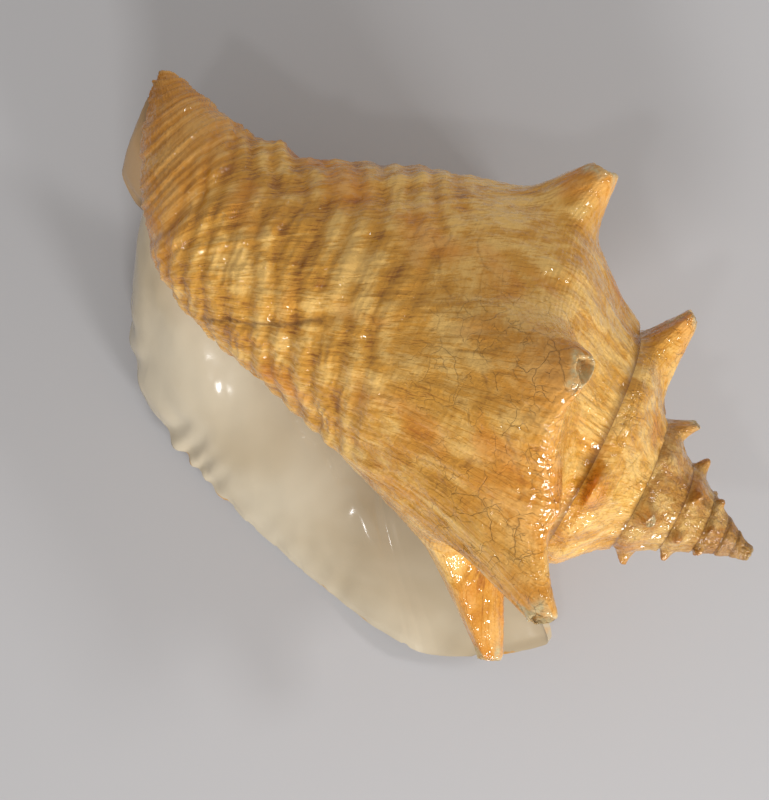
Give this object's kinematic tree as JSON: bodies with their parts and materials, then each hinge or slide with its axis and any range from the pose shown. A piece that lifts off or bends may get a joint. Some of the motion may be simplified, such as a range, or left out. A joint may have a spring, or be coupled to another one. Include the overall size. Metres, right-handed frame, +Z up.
{
  "type": "conch shell trumpet",
  "caption": "Large conch shell trumpet resting on its flared lip: coiled knobbed spire, blunt shoulder spines, open aperture, bent canal and a small blow hole at the apex.",
  "frame": {"origin": "on the table, under the middle of the part's bounding box", "axes": "+X along the coiling axis towards the apex and blow hole, +Y away from the flared lip, +Z up as the shell rests on its lip and lower spines"},
  "size_m": [0.2266, 0.1575, 0.1451],
  "materials": {
    "body_shell": "varnished, golden ochre with brown streaks",
    "spire_shell": "varnished over a worn, granular surface",
    "lip_shell": "glossy cream enamel with yellow worn rim",
    "inner_glaze": "smooth glossy porcelain-like glaze"
  },
  "bodies": {
    "root": {"body_wall_spine_one": "body_shell", "body_wall_spine_two": "body_shell", "body_wall_spine_three": "body_shell", "body_wall_spine_four": "body_shell", "body_wall_spine_five": "body_shell", "body_wall_spine_six": "body_shell", "canal_wall_inner": "body_shell", "canal_wall_top": "body_shell", "canal_wall_under": "body_shell", "second_whorl_right": "body_shell", "second_whorl_top": "body_shell", "second_whorl_spine_left": "body_shell", "second_whorl_spine_back": "body_shell", "spire_tip_whorls": "spire_shell", "spire_whorl_six": "spire_shell", "spire_whorl_five": "spire_shell", "spire_whorl_four": "spire_shell", "spire_whorl_three_rear": "spire_shell", "spire_whorl_three_front": "spire_shell", "apex_rim": "spire_shell", "lip_rear_lobe": "lip_shell", "lip_middle": "lip_shell", "lip_front": "lip_shell", "lip_canal_lobe": "lip_shell", "inner_wall_behind_aperture": "inner_glaze", "aperture_glaze": "inner_glaze", "columella": "inner_glaze"}
  },
  "joints": []
}
